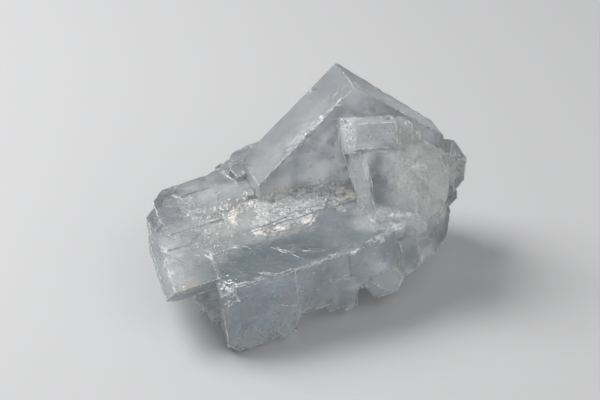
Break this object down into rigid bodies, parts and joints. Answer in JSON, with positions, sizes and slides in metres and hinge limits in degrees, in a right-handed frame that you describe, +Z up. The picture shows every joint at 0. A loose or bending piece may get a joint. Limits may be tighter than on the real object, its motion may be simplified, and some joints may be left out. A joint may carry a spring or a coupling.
{
  "type": "barite crystal cluster",
  "caption": "Translucent cluster of intergrown tabular barite crystals, with a large upright crystal and a smaller leaning one, cut flat to stand on.",
  "frame": {"origin": "on the resting surface, under the middle of the cluster's outline seen from above", "axes": "+Z up out of the resting face; +X to the right, along the low group's length, as seen from the front where the large upright crystal's broad face shows; +Y to the back"},
  "size_m": [0.0738, 0.0628, 0.0454],
  "materials": {
    "barite": "glassy, translucent, milky in places"
  },
  "bodies": {
    "root": {"barite": "barite"}
  },
  "joints": []
}
